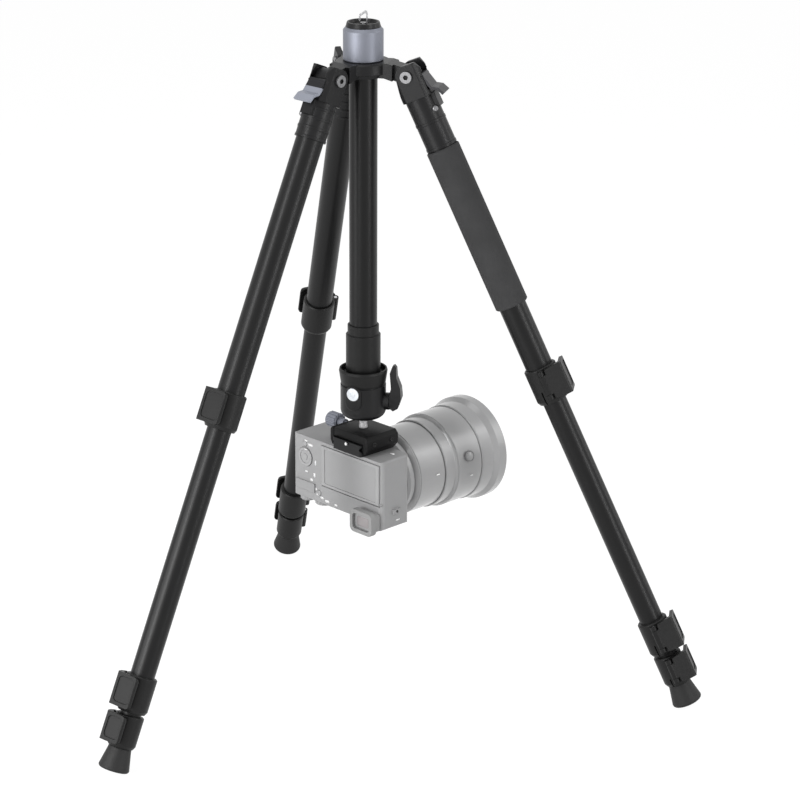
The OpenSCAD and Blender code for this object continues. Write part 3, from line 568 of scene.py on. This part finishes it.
def level_vial():
    """The level's case, window, bezel, printed ring and bubble, higher than the CAD's window."""
    low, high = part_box("bubble_level")
    centre = (Vector(low) + Vector(high)) / 2
    out = Vector((centre.x, centre.y, 0)).normalized()
    across = UP.cross(out)
    face = max(Vector(v.co).dot(out) for v in NODES["bubble_level"].data.vertices)
    middle = out * (face - CASE_SUNK) + UP * (centre.z + LEVEL_RISE / 2)
    piece("level_case", rounded_plate(*LEVEL_CASE), "head", "casting",
          basis(middle, across, UP, out))
    seat = basis(out * (face - WINDOW_SUNK) + UP * (centre.z + LEVEL_RISE), across, UP, out)
    parts = [piece(name, revolve(profile, steps), "head", material, seat)
             for name, profile, steps, material, slot in LEVEL_PARTS]
    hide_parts("bubble_level")


# Cross-sections of the clamp's body and jaw: across the plate, above the camera's base
CLAMP_TOP = 20
CLAMP = [(-18.9, 11.6), (19.3, 11.6), (19.3, 9.2), (17.3, 6.8), (19.3, 4.4), (19.3, 2.6),
         (22.3, 2.6), (26.3, 7.6), (26.3, 16.4), (23.2, CLAMP_TOP), (-18.9, CLAMP_TOP)]
JAW = [(-19.3, 2.6), (-19.3, 4.4), (-17.3, 6.8), (-19.3, 9.2), (-19.3, CLAMP_TOP),
       (-21.6, CLAMP_TOP), (-23.8, 17.2), (-23.8, 6.6), (-21.4, 2.6)]
# Profiles: radius and height
NECK = [(3.9, CLAMP_TOP - 1.5), (3.9, CLAMP_TOP + 1.5), (3.6, CLAMP_TOP + 4),
        (3.8, CLAMP_TOP + 7.4), (5, CLAMP_TOP + 9.8), (4, CLAMP_TOP + 10.4)]
JAW_PIN = [(1.5, 0), (1.5, 13), (1.1, 13.6)]
PLATE_PIN = [(1.6, 0), (1.5, 0.5), (1.2, 0.9), (0.7, 1.15), (0.1, 1.2)]
CLAMP_SCREW = [(2.2, 0), (2.2, 0.5), (1.9, 0.8), (1.2, 0.8), (1.2, 0.2), (0.1, 0.2)]
CLAMP_EDGE, JAW_EDGE = 0.7, 0.6
CAD_CLAMP_TOP = 23       # of the CAD's clamp, above the camera's base
PIN_X, PIN_Z = -21, 17.2
PIN_SIDES = (-13, 13)
PLATE_PIN_X, PLATE_PIN_Z = 0.5, 9.2
PLATE_PIN_SUNK = 0.1     # into the plate's end
SCREW_FACE = 26.2        # just inside the clamp's outer side
SCREW_DROP = 11          # below the CAD clamp's top
SCREW_SIDES = (-11, 11)


def clamp():
    """The flat, bevelled clamp and the slim neck above it, which the CAD has plainer."""
    low, high = extent("clamp_body", CAMERA)
    length = (high.y - low.y) / MM
    base = high.z / MM - CAD_CLAMP_TOP
    seat = CAMERA @ Matrix.Translation((0, 0, base * MM))
    body = piece("clamp_casting", bar(CLAMP, length, CLAMP_EDGE), "stem", "clamp",
                 seat)
    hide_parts("clamp_body")
    jaw = piece("jaw_casting", bar(JAW, length, JAW_EDGE), "jaw", "clamp",
                seat)
    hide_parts("clamp_jaw")
    for index, y in enumerate(PIN_SIDES):
        place = facing(seat, (PIN_X, y, PIN_Z), SIDEWAYS)
        piece(f"jaw_pin_{index}", revolve(JAW_PIN, 20), "jaw", "steel", place)
    neck = piece("neck", revolve(NECK, 48), "stem", "neck", seat)
    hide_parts("ball_stem")
    plate_end = extent("release_plate", CAMERA)[0].y / MM + PLATE_PIN_SUNK
    place = facing(seat, (PLATE_PIN_X, plate_end, PLATE_PIN_Z), BACKWARDS)
    # The steel pin's dome is white: a painted glint
    piece("plate_pin_glint", revolve(PLATE_PIN, 24), "camera", "mark", place)


def clamp_screws():
    """The two screw heads on the clamp's outer side."""
    top = extent_mm("clamp_body", CAMERA)[1].z
    for index, y in enumerate(SCREW_SIDES):
        place = facing(CAMERA, (SCREW_FACE, y, top - SCREW_DROP), SIDEWAYS)
        piece(f"clamp_screw_{index}", revolve(CLAMP_SCREW, 24), "stem", "casting",
              place)


# Name, plate, depth from the eyecup's rim, material and slot
EYEPIECE = [("eyepiece_frame", (20.5, 13.5, 0.5, 3, 6), 3.3, "trim", "camera_trim"),
            ("eyepiece_glass", (15.5, 9.5, 0.3, 2, 6), 2.9, "ocular", "display")]


def eyepiece():
    """The frame and the glass at the bottom of the eyecup."""
    low, high = extent_mm("eyecup", CAMERA)
    middle = (low + high) / 2
    for name, size, depth, material, slot in EYEPIECE:
        seat = facing(CAMERA, (middle.x, low.y + depth, middle.z), BACKWARDS)
        piece(name, rounded_plate(*size), "camera", material, seat)


BUTTON_PROUD = 0.7   # the back's buttons stand out this much
LUG_REACH = 2.6      # the strap lugs stand out this much at both ends
# Marks of the back, white print and painted glints of the buttons: from the far end, below the base, width and
# height
BACK_MARKS = [(24, 7.5, 7, 2.2), (18, 4.6, 4, 1.8), (31, 23.5, 1.8, 5), (29.5, 36, 2.6, 4.4),
              (18.5, 35, 3.6, 1.7), (25.5, 42, 4, 3), (31.5, 49.5, 3, 2.6), (40, 56, 4.4, 2.2),
              (47, 57.6, 6, 2.4), (34, 54, 3, 2), (59, 58, 4, 1.9)]


def mark(name, size, seat, body="camera"):
    """A small white mark, for print and for painted glints, its size given as rounded_plate takes it."""
    piece(name, rounded_plate(*size), body, "mark", seat)


def camera_marks():
    """Small white marks beside the controls, with no lettering: print, and painted glints on the buttons, on the
    wheel's rim and on the base.
    """
    low, high = extent_mm("camera_body", CAMERA)
    base = high.z
    back = extent_mm("menu_button", CAMERA)[0].y + BUTTON_PROUD
    far_end = low.x + LUG_REACH
    near_end = high.x - LUG_REACH
    # print and painted glints of the buttons
    for index, (x, drop, width, height) in enumerate(BACK_MARKS):
        seat = facing(CAMERA, (far_end + x, back + MARK_LIFT, base - drop), BACKWARDS)
        mark(f"back_print_and_glint_{index}", (width, height, 0.1, min(width, height) * 0.45, 3), seat)
    mark("side_mark", (5, 1.3, 0.1, 0.5, 3),
         facing(CAMERA, (near_end + MARK_LIFT, 3, base - 60.5), SIDEWAYS))
    # a painted glint on the base, beside the clamp, in white
    mark("base_glint", (5.5, 2.4, 0.12, 1.1, 4),
         facing(CAMERA, (31, 7.5, base + MARK_LIFT), UP, FORWARDS))
    low, high = extent_mm("control_wheel", CAMERA)
    middle = (low + high) / 2
    # a painted highlight on the wheel's upper rim, in white
    mark("wheel_rim_glint", (4, 0.9, 0.1, 0.4, 3),
         facing(CAMERA, (middle.x + 1, low.y - MARK_LIFT, high.z - 1.6), BACKWARDS),
         "control_wheel")


FLARES = (("zoom_ring", 4.2), ("focus_ring", 2.4))   # ring, and rise of the cone before it
RING_GAP = 0.25                 # between a cone and its ring
FLARE_WALL = 0.6                # the cone's bore is this much inside its narrow end
HOLD_AT = (12.5, 95.5, 46.8)    # height above the axis, along it, distance from it
HOLD_RIM = [(5.2, -1), (5.2, 0.25), (4.3, 0.25), (4.3, -1)]
HOLD_CAP = [(4.2, -1), (4.2, 0.15), (3.8, 0.4), (0.2, 0.5)]
# White marks of the lens, index print and painted glints of its switches: height above the axis, along it,
# distance from it, and length
LENS_MARKS = ((3.4, 49.5, 38, 3.4), (3.2, 56.5, 42, 4.2), (9.5, 21, 36.4, 2.2),
              (-6.8, 97, 46.6, 3))


def lens_seat(height, along, radius):
    """A place on the lens: radius from its axis, height above it, along from the vertical."""
    x = math.sqrt(radius ** 2 - height ** 2)
    normal = Vector((x, -height, 0)).normalized()
    ahead = Vector((0, 0, 1))
    place = Vector((x, -height, along)) * MM
    return LENS @ basis(place, ahead, normal.cross(ahead), normal)


def lens_flares():
    """Short cones that lead the barrel up to its wider rings."""
    for ring, rise in FLARES:
        low, high = extent_mm(ring, LENS)
        radius = high.x
        top = low.z - RING_GAP
        inner = radius - rise - FLARE_WALL
        profile = [(inner, top - rise), (radius - rise, top - rise),
                   (radius - 0.8, top - 0.5), (radius - 0.5, top), (inner, top)]
        piece(f"{ring}_flare", revolve(profile, 96), "camera", "lens", LENS)


def lens_details():
    """The hold button and its rim, whose darker grey is painted shade, and the small white marks on the side that
    is seen: index print, and painted glints of the switches.
    """
    seat = lens_seat(*HOLD_AT)
    # the rim's darker grey is painted shade round the button
    piece("hold_button_rim", revolve(HOLD_RIM, 40), "camera", "hold_rim_shade", seat)
    piece("hold_button", revolve(HOLD_CAP, 40), "camera", "lens", seat)
    for index, (height, along, radius, length) in enumerate(LENS_MARKS):
        mark(f"lens_print_and_glint_{index}", (length, 1, 0.5, 0.45, 3), lens_seat(height, along, radius))


dress_nodes()
dress_camera()
shoulder_screws()
level_vial()
clamp()
clamp_screws()
lens_flares()
lens_details()
eyepiece()
camera_marks()


# ---- Floor, light and camera ----
FLOOR_SIZE = 60
FLOOR_DROP = 0.0005                  # below the feet
FLOOR_LIT = (0.16, 0.16, 0.16, 1)    # where the floor is seen: this takes the shadow
FLOOR_GLOW = 0.93                    # and this, with the lamps' share, makes it read white
FLOOR_PLAIN = (0.75, 0.75, 0.75, 1)  # for the light that it throws back on the object
SOFT_LIGHT = 0.34                    # of the world, where it lights the object


def seen_or_mirrored(tree):
    """1 for rays from the camera and for mirrored or refracted ones, 0 for the rest."""
    path = tree.nodes.new("ShaderNodeLightPath")
    most = path.outputs["Is Camera Ray"]
    for name in ("Is Glossy Ray", "Is Transmission Ray"):
        larger = tree.nodes.new("ShaderNodeMath")
        larger.operation = "MAXIMUM"
        tree.links.new(most, larger.inputs[0])
        tree.links.new(path.outputs[name], larger.inputs[1])
        most = larger.outputs[0]
    return most


def make_floor():
    """A pale floor that reads white and still keeps the soft shadow."""
    bpy.ops.mesh.primitive_plane_add(size=FLOOR_SIZE, location=(0, 0, -FLOOR_DROP))
    floor = bpy.context.object
    floor.name = "floor"
    material = bpy.data.materials.new("pale floor")
    material.use_nodes = True
    tree = material.node_tree
    tree.nodes.clear()
    lit = add(tree, "ShaderNodeBsdfDiffuse", Color=FLOOR_LIT)
    glow = add(tree, "ShaderNodeEmission", Color=(1, 1, 1, 1), Strength=FLOOR_GLOW)
    seen = tree.nodes.new("ShaderNodeAddShader")
    plain = add(tree, "ShaderNodeBsdfDiffuse", Color=FLOOR_PLAIN)
    choose = tree.nodes.new("ShaderNodeMixShader")
    output = tree.nodes.new("ShaderNodeOutputMaterial")
    tree.links.new(lit.outputs[0], seen.inputs[0])
    tree.links.new(glow.outputs[0], seen.inputs[1])
    tree.links.new(seen_or_mirrored(tree), choose.inputs[0])
    tree.links.new(plain.outputs[0], choose.inputs[1])
    tree.links.new(seen.outputs[0], choose.inputs[2])
    tree.links.new(choose.outputs[0], output.inputs["Surface"])
    floor.data.materials.append(material)


def make_world():
    """White where it is seen or mirrored, a plain grey where it lights the object."""
    world = bpy.data.worlds.new("studio")
    bpy.context.scene.world = world
    world.use_nodes = True
    tree = world.node_tree
    tree.nodes.clear()
    soft = add(tree, "ShaderNodeBackground", Color=(1, 1, 1, 1), Strength=SOFT_LIGHT)
    white = add(tree, "ShaderNodeBackground", Color=(1, 1, 1, 1), Strength=1.0)
    choose = tree.nodes.new("ShaderNodeMixShader")
    output = tree.nodes.new("ShaderNodeOutputWorld")
    tree.links.new(seen_or_mirrored(tree), choose.inputs[0])
    tree.links.new(soft.outputs[0], choose.inputs[1])
    tree.links.new(white.outputs[0], choose.inputs[2])
    tree.links.new(choose.outputs[0], output.inputs["Surface"])


# Name, place, target, width and height, watts
LIGHTS = [
    ("left", (-1.15, -1.15, 1.0), (0, 0, 0.3), (0.28, 1.6), 16),
    ("low", (-0.95, -0.75, 0.36), (0, 0, 0.3), (1.1, 0.7), 8),
    ("right", (1.3, -1.05, 0.75), (0, 0, 0.3), (0.24, 1.5), 11),
    ("side", (1.5, 0.16, 1.0), (0, 0, 0.25), (0.3, 1.6), 5),
    ("top", (-0.2, 0.2, 2.2), (0, 0, 0.3), (0.9, 0.9), 8.5),
]


def area_light(name, place, target, size, power):
    """A rectangular lamp that looks at its target."""
    light = bpy.data.lights.new(name, "AREA")
    light.shape = "RECTANGLE"
    light.size, light.size_y = size
    light.energy = power
    obj = bpy.data.objects.new(name, light)
    obj.location = place
    direction = Vector(target) - Vector(place)
    obj.rotation_euler = direction.to_track_quat("-Z", "Y").to_euler()
    bpy.context.scene.collection.objects.link(obj)


VIEW_SENSOR, VIEW_LENS = 36, 126.77       # millimetres
VIEW_SHIFT = 0.0459                       # of the picture's width
VIEW_DISTANCE, VIEW_RISE = 2.448, 0.5469  # metres before the origin and above leg a's hinge
VIEW_TILT = 19.25                         # degrees below level
VIEW_END = 100


def make_camera():
    """The photographed view: a long lens, above the object and looking down at it."""
    data = bpy.data.cameras.new("view")
    data.sensor_width = VIEW_SENSOR
    data.lens = VIEW_LENS
    data.shift_x = VIEW_SHIFT
    data.clip_end = VIEW_END
    camera = bpy.data.objects.new("view", data)
    camera.location = (0, -VIEW_DISTANCE, place_of("leg_a_spread").z + VIEW_RISE)
    camera.rotation_euler = (math.radians(90 - VIEW_TILT), 0, 0)
    bpy.context.scene.collection.objects.link(camera)
    bpy.context.scene.camera = camera


make_floor()
make_world()
for light_row in LIGHTS:
    area_light(*light_row)
make_camera()
bpy.context.scene.view_settings.view_transform = "Standard"
